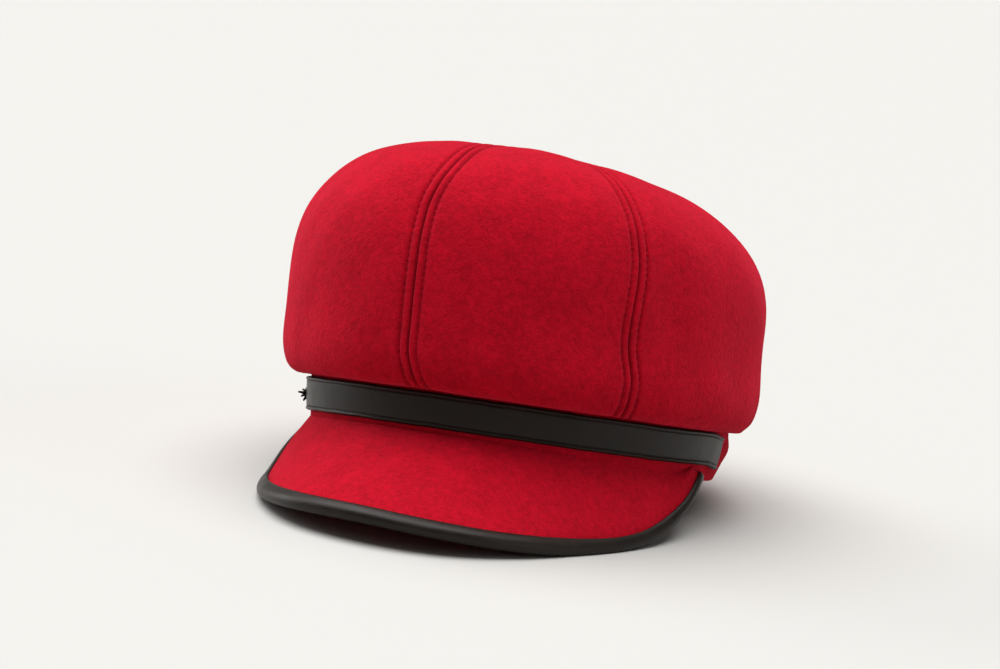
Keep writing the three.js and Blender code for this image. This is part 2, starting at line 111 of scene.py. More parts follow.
# The root's depth under the strap's lower edge: what it is at the front, and what comes on toward each side.
ROOT_UNDER = {"front": 0.55, "left": 2.95, "right": -0.2}
# Columns: out over the edge, up from it, from the lower lip round to the upper lip.
BINDING_ROLL = np.array([
    (-4.3, -2.2), (-3.7, -2.55), (-2.4, -2.85), (-0.2, -2.85), (1.3, -2.15), (2.2, -0.8), (2.2, 0.7),
    (1.3, 2.0), (-0.4, 2.8), (-2.5, 2.85), (-3.7, 2.6), (-4.3, 2.2),
])
# The slot that the roll leaves for the board, from the upper lip in and back out to the lower one.
BINDING_SLOT = np.array([(-4.3, 1.35), (0.15, 1.35), (0.15, -1.35), (-4.3, -1.35)])
BINDING_END = 96.0
# The stretches over which the binding narrows toward its ends and along its sides.
BINDING_SLIM = {"end": (72, 87), "side": (46, 66)}
# Columns: angle, out from the band, height. The first row is the tuft's root in the strap's face, where the
# strap turns out of the photo's sight on the wearer's right. The others are the tips of its ends.
FRAYED = np.array([
    (-60, 1.3, 6.6), (-60, 5.0, 7.3), (-60.5, 3.9, 5.7), (-59.5, 2.9, 4.1), (-60, 1.9, 9.3), (-61, 3.3, 8.6),
])
FRAYED_THICK = 1.15

# Roughness of both leathers, about its middle.
LEATHER_ROUGH = 0.42

# Columns: name, place it shines from in metres, spread in degrees, strength as a share of the main light's,
# share of it that shows in highlights.
LIGHTS = [
    ("overhead_light", (-0.5, 0.1, 3.2), 76, 1, 1), ("left_light", (-2.4, 0.3, 0.9), 40, 0.21, 0.35),
    ("right_light", (2.4, 0.2, 0.9), 35, 0.065, 0.2),
]
LIT_POINT = (0, 0, 0.07)
# The backdrop in metres: half its width, where it stops before the cap, and where it curves up behind it.
BACKDROP = {"half_width": 30, "near": -30, "curve_from": 24, "curve": 4, "top": 6}
# The photo's camera, turned, tipped and rolled about the band. Its focal length and the offset of the band's
# middle from the picture's are in the photo's pixels, its place is in metres, its lens and sensor are in
# millimetres.
CAMERA = {
    "turn": 22.921, "tip": 1.661, "roll": -7.678, "focal": 3650.74, "aside": 16.495, "above": 103.239,
    "place": (0.58503, -1.3361, 0.29895), "lens": 131.43, "sensor": 36,
}


def linear(hex_colour):
    """Linear RGBA of an sRGB hex colour: below 0.04045 a straight line, above it the 2.4 power curve."""
    c = np.array([int(hex_colour[i:i + 2], 16) / 255 for i in (1, 3, 5)])
    c = np.where(c <= 0.04045, c / 12.92, ((c + 0.055) / 1.055) ** 2.4)
    return (*map(float, c), 1.0)


def ramp(low, high, x):
    """Smooth step from 0 at low to 1 at high: 3k squared minus 2k cubed."""
    k = np.clip((x - low) / (high - low), 0, 1)
    return k * k * (3 - 2 * k)


def between(keys, values, x):
    """Cubic Hermite curve through a table, each slope taken from the two neighbouring rows."""
    keys, values, x = np.asarray(keys, float), np.asarray(values, float), np.asarray(x, float)
    i = np.clip(np.searchsorted(keys, x, side="left"), 1, len(keys) - 1)
    before, after = np.maximum(i - 2, 0), np.minimum(i + 1, len(keys) - 1)
    span = keys[i] - keys[i - 1]
    m0 = (values[i] - values[before]) / (keys[i] - keys[before]) * span
    m1 = (values[after] - values[i - 1]) / (keys[after] - keys[i - 1]) * span
    k = (x - keys[i - 1]) / span
    return ((2 * k**3 - 3 * k**2 + 1) * values[i - 1] + (k**3 - 2 * k**2 + k) * m0
            + (3 * k**2 - 2 * k**3) * values[i] + (k**3 - k**2) * m1)


def unit(a):
    """Vectors divided by their own lengths."""
    return a / np.maximum(np.linalg.norm(a, axis=-1, keepdims=True), 1e-12)


def arch(t):
    """Rise of the band's lines over the front half: the arch's height times the squared cosine."""
    return FRONT_ARCH * np.maximum(np.cos(t), 0) ** 2


def oval(t, out, up):
    """Point on the band's ellipse, its half axes grown by out, at a height."""
    t, out, up = np.broadcast_arrays(np.asarray(t, float), out, up)
    x, y = (BAND["half_width"] + out) * np.sin(t), -(BAND["half_length"] + out) * np.cos(t)
    return np.stack([x, y, up], -1)


def band_swell(t, up):
    """How far the band's face stands out of its ellipse: minus its taper below the strap's upper edge, and
    behind the strap's ends plus a bell-shaped puff and minus a squared ramp at the lower rim."""
    loose = ramp(LOOSE["from"], LOOSE["to"], np.degrees(np.arccos(np.clip(np.cos(t), -1, 1))))
    taper = BAND["taper"] * (np.minimum(up, STRAP["width"]) - STRAP["width"])
    puff = LOOSE["puff"] * np.exp(-(((up - LOOSE["puff_up"]) / LOOSE["puff_tall"]) ** 2))
    curl = LOOSE["curl"] * np.clip((LOOSE["curl_up"] - up) / LOOSE["curl_tall"], 0, 1) ** 2
    return taper + loose * (puff - curl)


def band_face(t, out, up):
    """Point on the band's outer face, grown by out, at a height."""
    return oval(t, out + band_swell(t, up), up)


def inside_share(points, clearance):
    """Distance of points from the band's axis, as a share of how far its face, grown by a clearance, is."""
    x, y, z = points[..., 0], points[..., 1], points[..., 2]
    grown = clearance + band_swell(np.arctan2(x / BAND["half_width"], -y / BAND["half_length"]), z)
    return np.hypot(x / (BAND["half_width"] + grown), y / (BAND["half_length"] + grown))


def outside_band(points, clearance):
    """Points inside the band's face, grown by a clearance, are carried straight out from its axis onto it."""
    scale = 1 / np.minimum(inside_share(points, clearance), 1)
    return points * np.stack([scale, scale, np.ones_like(scale)], -1)


def eased_turn(k, first, last):
    """Turn of a squared curve at a share of its length, spread so that its points are evenly spaced."""
    low = 0.5 * np.maximum(2 * k, 0) ** (first / 2)
    high = 1 - 0.5 * np.maximum(2 - 2 * k, 0) ** (last / 2)
    return np.where(k < 0.5, low, high) * np.pi / 2


def crown_form(t, v):
    """The crown's smooth form. v runs 0 to 1 from the band out to the fold, 1 to 2 up a superellipse to the
    widest line, and 2 to 3 over another superellipse, leaned forward and tilted, to the middle of the top."""
    t, v = np.broadcast_arrays(np.asarray(t, float), np.asarray(v, float))
    s, c = np.sin(t), np.cos(t)
    wide_x, wide_y = CROWN["half_width"] * s, -np.where(c > 0, CROWN["front"], CROWN["back"]) * c
    fold = oval(t, CROWN["fold_out"], CROWN["fold_up"] + arch(t) - CROWN["fold_droop"] * (1 - c) / 2)
    join = oval(t, CROWN["join_out"], CROWN["join_up"] + arch(t))
    k = np.clip(v, 0, 1)[..., None]
    low = join + (fold - join) * k
    low[..., 2] = fold[..., 2] + (join[..., 2] - fold[..., 2]) * (1 - k[..., 0]) ** 2
    turn = eased_turn(np.clip(v - 1, 0, 1), HEM["side"], HEM["rise"])
    out, down = np.sin(turn) ** (2 / HEM["side"]), np.maximum(np.cos(turn), 0) ** (2 / HEM["rise"])
    z = CROWN["widest_up"] - (CROWN["widest_up"] - fold[..., 2]) * down
    shift = CROWN["shift"] * ramp(CROWN["fold_up"], CROWN["widest_up"], z)
    hem = np.stack([fold[..., 0] + (wide_x - fold[..., 0]) * out + shift,
                    fold[..., 1] + (wide_y - fold[..., 1]) * out, z], -1)
    turn = eased_turn(np.clip(v - 2, 0, 1), SHOULDER["rise"], SHOULDER["side"])
    lean, reach = np.sin(turn) ** 1.5, np.maximum(np.cos(turn), 0) ** (2 / SHOULDER["side"])
    y = wide_y * reach - CROWN["top_forward"] * lean
    z = CROWN["widest_up"] + CROWN["rise"] * np.sin(turn) ** (2 / SHOULDER["rise"])
    z = z + CROWN["top_tilt"] * y * lean
    top = np.stack([wide_x * reach + CROWN["top_side"] * lean + CROWN["shift"], y, z], -1)
    return np.where((v < 1)[..., None], low, np.where((v < 2)[..., None], hem, top))


def crown_normal(t, v, e=0.01):
    """Outward direction of the form: around crossed with along, by central differences."""
    along = crown_form(t, np.minimum(v + e, 3)) - crown_form(t, np.maximum(v - e, 0))
    return unit(np.cross(crown_form(t + e, v) - crown_form(t - e, v), along))


def seam_line(panel, v):
    """Angle of a seam at v, swayed by the table at its height, and how far the form runs there per radian."""
    _, angle, line = PANELS[panel % len(PANELS)]
    up = np.clip(crown_form(math.radians(angle), v)[..., 2], SWAY_UP[0], SWAY_UP[-1])
    t = np.radians(angle + between(SWAY_UP, SWAY[line], up)) + 2 * math.pi * (panel // len(PANELS))
    e = 0.005
    return t, np.linalg.norm(crown_form(t + e, v) - crown_form(t - e, v), axis=-1) / (2 * e)


def crown_calm(p, v):
    """Share of the seam relief left at a point: none at the middle of the top or down at the band."""
    return ramp(1, 16, np.hypot(p[..., 0], p[..., 1] + CROWN["top_forward"])) * ramp(0.3, 1.2, v)


def cloth_waves(p):
    """Soft unevenness of unpressed cloth: long sine waves crossing each other, added up."""
    x, y, z = p[..., 0], p[..., 1], p[..., 2]
    return (WAVES[0] * np.sin(x / 11 + 0.8 * np.sin(z / 17)) * np.sin(z / 13 + y / 19 + 1.3)
            + WAVES[1] * np.sin((x + y) / 7.3 + z / 9.1) + WAVES[2] * np.sin((x - y) / 5.1 - z / 6.7 + 2.1))


def dents(p):
    """Shallow bell-shaped dents, each from its row of the table."""
    angle = np.degrees(np.arctan2(p[..., 0] / CROWN["half_width"], -p[..., 1] / CROWN["back"]))
    total = np.zeros(p.shape[:-1])
    for where, up, deep, across, along in DENTS:
        off = (angle - where + 540) % 360 - 180
        total -= deep * np.exp(-(np.radians(off) * CROWN["half_width"] / across) ** 2
                               - ((p[..., 2] - up) / along) ** 2)
    return total


def seam_relief(d, s, shape):
    """Height across a seam at a distance d from it and a length s along it: a wide valley, a sharp crease in
    the middle, the allowance puffed up in a half sine between crease and sewn row, the row's soft groove,
    deeper at each stitch, and the cloth's small rise beyond it."""
    row, pitch = shape.row_distance * 1000, shape.stitch_pitch * 1000
    valley = -SEAM["valley"] * np.exp(-((d / SEAM["valley_wide"]) ** 2))
    crease = -SEAM["crease"] * np.exp(-((d / SEAM["crease_wide"]) ** 2))
    pull = 0.7 + 0.3 * np.cos(2 * np.pi * s / pitch)
    puff = shape.ridge_height * 1000 * (1.1 - 0.2 * pull) * np.sin(np.pi * np.clip(d / row, 0, 1)) ** 0.8
    sewn = -SEAM["row_deep"] * pull * np.exp(-(((d - row) / SEAM["row_wide"]) ** 2))
    beyond = SEAM["shoulder"] * np.exp(-(((d - row - SEAM["shoulder_past"]) / SEAM["shoulder_wide"]) ** 2))
    return valley + crease + puff + sewn + beyond


def fold_shape(p, v):
    """How far the cloth stands out near its fold: a soft puff above it, less a bell that rounds it."""
    rise = p[..., 2] - CROWN["fold_up"]
    puff = FOLD["puff"] * np.exp(-(((rise - FOLD["puff_up"]) / FOLD["puff_tall"]) ** 2))
    return (puff - FOLD["deep"] * np.exp(-((np.maximum(rise, 0) / FOLD["tall"]) ** 2))) * ramp(0.2, 1, v)


def crown_height(relief, form, v):
    """How far the cloth stands off the smooth form: a seam's relief, the dents, the waves and the fold."""
    sewn = (relief + dents(form)) * crown_calm(form, v)
    return sewn + cloth_waves(form) * ramp(1, 1.6, v) + fold_shape(form, v)


def crown_rows():
    """Values of v for a panel's rows: few inside the fold, then about every 1.2 mm up and over the top."""
    tip = math.acos((CROWN["tip"] / CROWN["half_width"]) ** (SHOULDER["side"] / 2))
    last = 3 - (2 - 2 * tip / (math.pi / 2)) ** (2 / SHOULDER["side"]) / 2
    return np.concatenate([np.linspace(0, 1, 7)[:-1], np.linspace(1, 2, 47)[:-1], np.linspace(2, last, 128)])


def along_lengths(points):
    """Running length along the first axis of a grid of points."""
    steps = np.linalg.norm(np.diff(points, axis=0), axis=-1)
    return np.concatenate([np.zeros_like(steps[:1]), np.cumsum(steps, 0)])


def crown_panel(index, shape):
    """Front and back grids of one panel, and how close each front point is to a sewn line, which the material
    uses to paint shade along the seam's crease and rows. Columns stand at set distances from each seam, close
    together over the seam's relief, and share out what is left between them. The back is the smooth form, one
    wall in."""
    v = crown_rows()[:, None]
    (a, per_a), (b, per_b) = seam_line(index, v), seam_line(index + 1, v)
    half = (b - a) * (per_a + per_b) / 4
    near = np.concatenate([np.arange(0.04, 1.3, 0.25), np.arange(1.4, 2.4, 0.35), np.arange(2.5, 5.1, 0.22),
                           np.array([5.4, 6.2, 7.3, 8.8, 10.6, 13])])
    d = near[None, :] * np.minimum(1, 0.85 * half / near[-1])
    first, last = a + d / per_a, b - d[:, ::-1] / per_b
    k = np.linspace(0, 1, 28)[None, 1:-1]
    middle = first[:, -1:] + (last[:, :1] - first[:, -1:]) * k
    t = np.concatenate([first, middle, last], 1)
    distance = np.minimum((t - a) * per_a, (b - t) * per_b)
    form, normal = crown_form(t, v), crown_normal(t, v)
    s = along_lengths(crown_form(a, v)[:, 0])[:, None]
    height = crown_height(seam_relief(distance, s, shape), form, v)
    row = shape.row_distance * 1000
    # Closeness to the crease and the sewn rows, which the material darkens as painted shade in the grooves.
    pull = 0.75 + 0.25 * np.cos(2 * np.pi * s / (shape.stitch_pitch * 1000))
    sewn = np.exp(-((distance / 0.55) ** 2)) + pull * np.exp(-(((distance - row) / 0.75) ** 2))
    return form + normal * height[..., None], form - normal * CROWN["wall"], sewn * crown_calm(form, v)


def stand(points):
    """From the band's frame to the floor's: turned about Y, then X, shifted, and millimetres made metres."""
    p, l = math.radians(-STAND["pitch"]), math.radians(STAND["lean"])
    about_x = np.array([[1, 0, 0], [0, math.cos(p), -math.sin(p)], [0, math.sin(p), math.cos(p)]])
    about_y = np.array([[math.cos(l), 0, math.sin(l)], [0, 1, 0], [-math.sin(l), 0, math.cos(l)]])
    placed = (points @ (about_x @ about_y).T + np.array(STAND["shift"])) / 1000
    placed[..., 2] = np.maximum(placed[..., 2], 0)
    return placed


def new_object(name, points, faces, material, sharp=60):
    """A mesh object from points in the band's frame and face arrays, each of one number of corners. Edges
    turned by more than sharp degrees stay sharp."""
    points = stand(np.asarray(points, float).reshape(-1, 3))
    mesh = bpy.data.meshes.new(name)
    sizes = np.concatenate([np.full(len(f), f.shape[1]) for f in faces])
    loops = np.concatenate([f.ravel() for f in faces])
    mesh.vertices.add(len(points))
    mesh.vertices.foreach_set("co", points.astype(np.float32).ravel())
    mesh.loops.add(len(loops))
    mesh.loops.foreach_set("vertex_index", loops.astype(np.int32))
    mesh.polygons.add(len(sizes))
    mesh.polygons.foreach_set("loop_start", np.concatenate([[0], np.cumsum(sizes)[:-1]]).astype(np.int32))
    mesh.polygons.foreach_set("use_smooth", np.ones(len(sizes), bool))
    mesh.update(calc_edges=True)
    if mesh.validate():
        raise RuntimeError(name + ": the mesh had faults")
    mesh.set_sharp_from_angle(angle=math.radians(sharp))
    mesh.materials.append(material)
    piece = bpy.data.objects.new(name, mesh)
    bpy.context.scene.collection.objects.link(piece)
    return piece


def facing_out(points, faces):
    """The face arrays, each reversed if the closed body they bound has a negative volume."""
    flat = np.asarray(points, float).reshape(-1, 3)
    volume = 0.0
    for f in faces:
        for i in range(1, f.shape[1] - 1):
            volume += np.einsum("ij,ij->i", flat[f[:, 0]], np.cross(flat[f[:, i]], flat[f[:, i + 1]])).sum()
    return faces if volume > 0 else [f[:, ::-1] for f in faces]


def slab(name, front, back, material, wrap=False, sewn=None):
    """A closed sheet between two grids of points, joined round their borders. With wrap the columns close a
    ring. The front's values of sewn, if given, are kept as an attribute, from which its material paints shade
    along the seams."""
    rows, cols = front.shape[:2]
    ids = np.arange(2 * rows * cols).reshape(2, rows, cols)
    if wrap:
        ids = np.concatenate([ids, ids[:, :, :1]], 2)
    f, b = ids

    def quads(p, q, r, s):
        return np.stack([p.ravel(), q.ravel(), r.ravel(), s.ravel()], 1)

    faces = [
        quads(f[:-1, :-1], f[:-1, 1:], f[1:, 1:], f[1:, :-1]),
        quads(b[:-1, :-1], b[1:, :-1], b[1:, 1:], b[:-1, 1:]),
        quads(f[0, :-1], b[0, :-1], b[0, 1:], f[0, 1:]),
        quads(f[-1, :-1], f[-1, 1:], b[-1, 1:], b[-1, :-1]),
    ]
    if not wrap:
        faces.append(quads(f[:-1, 0], f[1:, 0], b[1:, 0], b[:-1, 0]))
        faces.append(quads(f[:-1, -1], b[:-1, -1], b[1:, -1], f[1:, -1]))
    points = np.concatenate([front.reshape(-1, 3), back.reshape(-1, 3)])
    piece = new_object(name, points, facing_out(points, faces), material)
    if sewn is not None:
        kept = piece.data.attributes.new("sewn", "FLOAT", "POINT")
        kept.data.foreach_set("value", np.concatenate([sewn.ravel(), 0 * sewn.ravel()]).astype(np.float32))
    return piece


def swept(name, sections, material):
    """A closed body carried through matching closed sections, with a flat face at each end."""
    count, n = sections.shape[:2]
    ids = np.arange(count * n).reshape(count, n)
    turn = np.roll(ids, -1, axis=1)
    sides = np.stack([ids[:-1].ravel(), turn[:-1].ravel(), turn[1:].ravel(), ids[1:].ravel()], 1)
    faces = [sides, np.stack([ids[0, ::-1], ids[-1]])]
    points = sections.reshape(-1, 3)
    return new_object(name, points, facing_out(points, faces), material)


def stitches(name, centres, along, up, length, thick, material):
    """Many short threads as one mesh: each a six-sided spindle along its direction, arched up in the middle so
    its ends dive into the cloth. Length is one number or one for each thread."""
    rings, sides = np.array([-0.86, -0.45, 0, 0.45, 0.86]), 6
    turn = np.arange(sides) * 2 * np.pi / sides
    girth = np.sqrt(1 - (rings * 0.9) ** 2)
    x = np.concatenate([[-1], np.repeat(rings, sides), [1]])
    y = np.concatenate([[0], np.outer(girth, np.cos(turn)).ravel(), [0]])
    z = np.concatenate([[0], np.outer(girth, np.sin(turn)).ravel(), [0]])
    side = unit(np.cross(up, along))
    bend = (0.5 - x**2) * thick
    reach = np.broadcast_to(np.asarray(length, float) / 2, len(centres))[:, None, None]
    p = (centres[:, None] + along[:, None] * x[None, :, None] * reach
         + side[:, None] * (y * thick / 2)[None, :, None]
         + up[:, None] * (z * thick / 2 + bend)[None, :, None])
    n = len(x)
    ring = 1 + np.arange(len(rings) * sides).reshape(len(rings), sides)
    turned = np.roll(ring, -1, axis=1)
    quads = np.stack([ring[:-1].ravel(), turned[:-1].ravel(), turned[1:].ravel(), ring[1:].ravel()], 1)
    caps = np.concatenate([np.stack([np.zeros(sides, int), turned[0], ring[0]], 1),
                           np.stack([np.full(sides, n - 1), ring[-1], turned[-1]], 1)])
    start = (np.arange(len(centres)) * n)[:, None, None]
    faces = [(quads[None] + start).reshape(-1, 4), (caps[None] + start).reshape(-1, 3)]
    return new_object(name, p, facing_out(p, faces), material, 80)


def spaced(points, *fields, pitch):
    """Points every pitch along a line, with the fields that go with them and the line's direction there."""
    s = along_lengths(points)
    at = np.arange(pitch, s[-1] - pitch, pitch)

    def pick(field):
        return np.stack([np.interp(at, s, field[:, i]) for i in range(field.shape[1])], -1)

    direction = unit(np.gradient(points, axis=0))
    return [pick(points), unit(pick(direction)), *map(pick, fields)]


def strap_lift(angle):
    """Height of the strap's lower edge: the front arch, less the dip that draws its ends down."""
    return arch(np.radians(angle)) - STRAP["dip"] * ramp(STRAP["dip_from"], STRAP["end"], np.abs(angle))


def strap_wave(t):
    """Small unevenness of the strap's height along its length: two sine waves multiplied."""
    return STRAP["wave"] * np.sin(t * 23) * np.sin(t * 9 + 1)


def strap_section(edge_height):
    """Out and up of the strap's section: its front from the lower edge to the upper one, with a rolled edge on
    each side of a gently arched face and a narrow groove for the sewn row inside each, then its back."""
    w, edge_round = STRAP["width"], STRAP["edge_round"]
    side = np.concatenate([[0.06, 0.25], np.linspace(0.5, 3.2, 22)])
    up = np.concatenate([side, np.linspace(3.6, w - 3.6, 12), w - side[::-1]])
    edge = np.minimum(up, w - up)
    rolled = STRAP["thick"] * np.sqrt(np.clip(1 - (1 - np.minimum(edge / edge_round, 1)) ** 2, 0, 1))
    bead = edge_height * np.exp(-(((edge - edge_round) / STRAP["bead_wide"]) ** 2))
    groove = -STRAP["groove"] * np.exp(-(((edge - STRAP["row_in"]) / STRAP["groove_wide"]) ** 2))
    belly = STRAP["belly"] * (1 - ((up - w / 2) / (w / 2)) ** 2)
    out = np.maximum(rolled, 0.35) + bead + groove + belly
    back = np.array([(0.0, w - 0.5), (0.0, 0.5)])
    return np.concatenate([np.stack([out, up], 1), back])


def edge_point(at):
    """The binding's outer line at an angle: the table's point, mirrored by the angle's sign, turned, rolled
    and, on its two sides, swung to the left."""
    at = np.asarray(at, float)
    side, out, up = (between(PEAK_ROWS[:, 0], PEAK_ROWS[:, i], np.abs(at)) for i in (1, 2, 3))
    x, y, turn = side * np.sign(at), -out, math.radians(PEAK["turn"])
    px, py = x * math.cos(turn) - y * math.sin(turn), x * math.sin(turn) + y * math.cos(turn)
    away = np.abs(at)
    level = np.where(at > 0, ramp(*PEAK["roll_left"], away), ramp(*PEAK["roll_right"], away))
    up = up + PEAK["roll"] * px * (1 - level)
    swing = PEAK["swing"] * ramp(*PEAK["swing_in"], away) * (1 - ramp(*PEAK["swing_out"], away))
    return np.stack([px + swing, py, up], -1)


def edge_frame(at):
    """Directions out over the peak's edge, down its slope and square to its line, and up from the face."""
    at = np.asarray(at, float)
    along = unit(edge_point(at + 0.2) - edge_point(at - 0.2))
    slope = np.radians(between(PEAK_ROWS[:, 0], PEAK_ROWS[:, 4], np.abs(at)))
    level = unit(np.stack([along[..., 1], -along[..., 0], np.zeros_like(slope)], -1))
    out = level * np.cos(slope)[..., None]
    out[..., 2] -= np.sin(slope)
    out = unit(out - along * (out * along).sum(-1, keepdims=True))
    return out, unit(np.cross(along, out))


def peak_middle(at, k):
    """Middle of the board: k runs 0 to 1 on a cubic from the band, leaving it at the same angle as it arrives,
    and 1 to 2 straight out over the margin inside the binding."""
    at, k = np.broadcast_arrays(np.asarray(at, float), np.asarray(k, float))
    out, _ = edge_frame(at)
    end = edge_point(at) - out * (PEAK["inset"] + PEAK["tuck"])
    turn = math.radians(PEAK["turn"])
    root = np.radians(between(PEAK_ROWS[:, 0], PEAK_ROWS[:, 5], np.abs(at))) * np.sign(at) + turn
    more = np.where(at > 0, ROOT_UNDER["left"], ROOT_UNDER["right"])
    under = ROOT_UNDER["front"] + more * np.sin(root) ** 4 + PEAK["thick"] / 2
    start = band_face(root, -PEAK["root_in"], arch(root) - under)
    chord = end - start
    length = np.linalg.norm(chord, axis=-1, keepdims=True)
    leave = 2 * chord / length * (out * chord).sum(-1, keepdims=True) / length - out
    j = np.minimum(k, 1)[..., None]
    curve = (start * (2 * j**3 - 3 * j**2 + 1) + leave * (j**3 - 2 * j**2 + j) * length
             + end * (3 * j**2 - 2 * j**3) + out * (j**3 - j**2) * length)
    return curve + out * (PEAK["tuck"] * np.maximum(k - 1, 0))[..., None]


def peak_up(at, k):
    """Upward direction of the board: along its edge crossed with down its slope."""
    e = 0.01
    down = peak_middle(at, np.minimum(k + e, 2)) - peak_middle(at, np.maximum(k - e, 0))
    return unit(np.cross(peak_middle(at + 0.5, k) - peak_middle(at - 0.5, k), down))


def full_side(at):
    """Share of the way along the wearer's right side of the peak, where the cloth is full over the binding."""
    return ramp(50, 60, -at) * (1 - ramp(85, 91, -at))


def peak_face(at, side):
    """One face of the board as a grid, from where it clears the band's face to under the binding. side is 1
    for the upper face and -1 for the lower."""
    fine = np.linspace(0, 1, 160)[:, None]
    half = side * PEAK["thick"] / 2
    p = peak_middle(at, fine) + peak_up(at, fine) * half
    start = np.maximum(fine[np.argmax(inside_share(p, 0.08) >= 1, 0), 0] - 1 / 320, 0)
    margin = np.array([[1.25], [1.6], [2.0]]) + 0 * start
    k = np.concatenate([start + (1 - start) * np.linspace(0, 1, 44)[:, None], margin])
    thin = PEAK["thick"] + (PEAK["edge_thick"] - PEAK["thick"]) * ramp(0.86, 1.12, k)
    if side > 0:
        thin = thin + PEAK["full"] * full_side(at) * ramp(0.7, 1.1, k)
    up = peak_up(at[None] + 0 * k, k)
    grid = peak_middle(at[None] + 0 * k, k) + up * (side * thin / 2)[..., None]
    return outside_band(grid, 0.05)


def smooth_loop(corners, share):
    """Closed Catmull-Rom curve through a loop of corners, share points to each side."""
    p = [np.roll(corners, s, axis=0)[:, None] for s in (1, 0, -1, -2)]
    k = (np.arange(share) / share)[None, :, None]
    curve = 0.5 * (2 * p[1] + (p[2] - p[0]) * k + (2 * p[0] - 5 * p[1] + 4 * p[2] - p[3]) * k**2
                   + (3 * p[1] - p[0] - 3 * p[2] + p[3]) * k**3)
    return curve.reshape(-1, corners.shape[1])


def node(tree, kind, sockets=None, **settings):
    """A node with its settings. A socket's value is a number, a colour, or another node's output to link."""
    made = tree.nodes.new(kind)
    for name, value in settings.items():
        setattr(made, name, value)
    for name, value in (sockets or {}).items():
        if isinstance(value, bpy.types.NodeSocket):
            tree.links.new(value, made.inputs[name])
        else:
            made.inputs[name].default_value = value
    return made


def new_material(name):
    """An empty node material and its tree."""
    material = bpy.data.materials.new(name)
    material.use_nodes = True
    material.node_tree.nodes.clear()
    return material, material.node_tree


def per_metre(millimetres):
    """Texture scale whose pattern repeats about every so many millimetres."""
    return 1000 / millimetres


def blended(tree, first, first_share, second, second_share):
    """The sum of two values, each times its share."""
    part = node(tree, "ShaderNodeMath", {0: second, 1: second_share}, operation="MULTIPLY")
    return node(tree, "ShaderNodeMath", {0: first, 1: first_share, 2: part.outputs[0]},
                operation="MULTIPLY_ADD").outputs[0]


def fulled_wool(name, colours):
    """Melton: wool woven, then fulled and brushed until the weave is gone."""
    # The eye sees a dense, dull nap with darker pits between tufts a few millimetres across, wider brushed
    # patches, and a pale bloom where the surface turns away, from fibre ends that stand up.
    material, tree = new_material(name)
    where = node(tree, "ShaderNodeTexCoord").outputs["Object"]
    tuft = node(tree, "ShaderNodeTexNoise", {
        "Vector": where, "Scale": per_metre(2.6), "Detail": 4.0, "Roughness": 0.66, "Distortion": 0.6})
    fibre = node(tree, "ShaderNodeTexNoise", {
        "Vector": where, "Scale": per_metre(0.8), "Detail": 2.0, "Roughness": 0.6})
    brushed = node(tree, "ShaderNodeTexNoise", {
        "Vector": where, "Scale": per_metre(17), "Detail": 4.0, "Roughness": 0.6})
    nap = blended(tree, fibre.outputs["Fac"], 0.38, tuft.outputs["Fac"], 0.62)
    shade = node(tree, "ShaderNodeMapRange", {"Value": nap, "From Min": 0.36, "From Max": 0.64})
    wide = node(tree, "ShaderNodeMapRange", {
        "Value": brushed.outputs["Fac"], "From Min": 0.3, "From Max": 0.7, "To Min": 0.05, "To Max": 0.95})
    mixed = blended(tree, wide.outputs[0], 0.32, shade.outputs[0], 0.68)
    colour = node(tree, "ShaderNodeMix", {0: mixed, 6: (*colours.wool_pits, 1), 7: (*colours.wool, 1)},
                  data_type="RGBA")
    # Along a seam's crease and sewn rows the colour is mixed toward a dark red: painted shade in the grooves.
    sewn = node(tree, "ShaderNodeAttribute", attribute_name="sewn").outputs["Fac"]
    shadow = node(tree, "ShaderNodeMath", {0: sewn, 1: 0.42}, operation="MULTIPLY")
    shaded = node(tree, "ShaderNodeMix", {0: shadow.outputs[0], 6: colour.outputs[2], 7: linear("#3A020A")},
                  data_type="RGBA")
    bump = node(tree, "ShaderNodeBump", {"Height": nap, "Strength": 0.75, "Distance": 0.0011})
    shader = node(tree, "ShaderNodeBsdfPrincipled", {
        "Base Color": shaded.outputs[2], "Roughness": 0.95, "Specular IOR Level": 0.06, "Sheen Weight": 0.44,
        "Sheen Roughness": 0.45, "Sheen Tint": linear("#FF3C5A"), "Normal": bump.outputs[0]})
    node(tree, "ShaderNodeOutputMaterial", {"Surface": shader.outputs[0]})
    return material


def finished_leather(name, colours, gleam):
    """Corrected-grain leather: buffed, pigmented and embossed with a fine pebble."""
    # The eye sees an even soft black with a broad highlight, broken only slightly by pebbles of about half a
    # millimetre, made 0.9 mm wide here so that they show.
    material, tree = new_material(name)
    where = node(tree, "ShaderNodeTexCoord").outputs["Object"]
    pebble = node(tree, "ShaderNodeTexVoronoi", {"Vector": where, "Scale": per_metre(0.9), "Randomness": 0.9},
                  feature="F1")
    soft = node(tree, "ShaderNodeTexNoise", {
        "Vector": where, "Scale": per_metre(9), "Detail": 4.0, "Roughness": 0.55})
    worn = node(tree, "ShaderNodeMapRange", {"Value": soft.outputs["Fac"], "From Min": 0.3, "From Max": 0.75})
    colour = node(tree, "ShaderNodeMix", {
        0: worn.outputs[0], 6: (*colours.leather, 1), 7: (*colours.leather_worn, 1)}, data_type="RGBA")
    gloss = node(tree, "ShaderNodeMapRange", {
        "Value": soft.outputs["Fac"], "From Min": 0.3, "From Max": 0.7, "To Min": LEATHER_ROUGH - 0.04,
        "To Max": LEATHER_ROUGH + 0.05})
    height = node(tree, "ShaderNodeMath", {0: pebble.outputs["Distance"], 1: 0.5, 2: soft.outputs["Fac"]},
                  operation="MULTIPLY_ADD")
    bump = node(tree, "ShaderNodeBump", {"Height": height.outputs[0], "Strength": 0.22, "Distance": 0.0005})
    shader = node(tree, "ShaderNodeBsdfPrincipled", {
        "Base Color": colour.outputs[2], "Roughness": gloss.outputs[0], "IOR": 1.5,
        "Specular IOR Level": gleam, "Normal": bump.outputs[0]})
    node(tree, "ShaderNodeOutputMaterial", {"Surface": shader.outputs[0]})
    return material


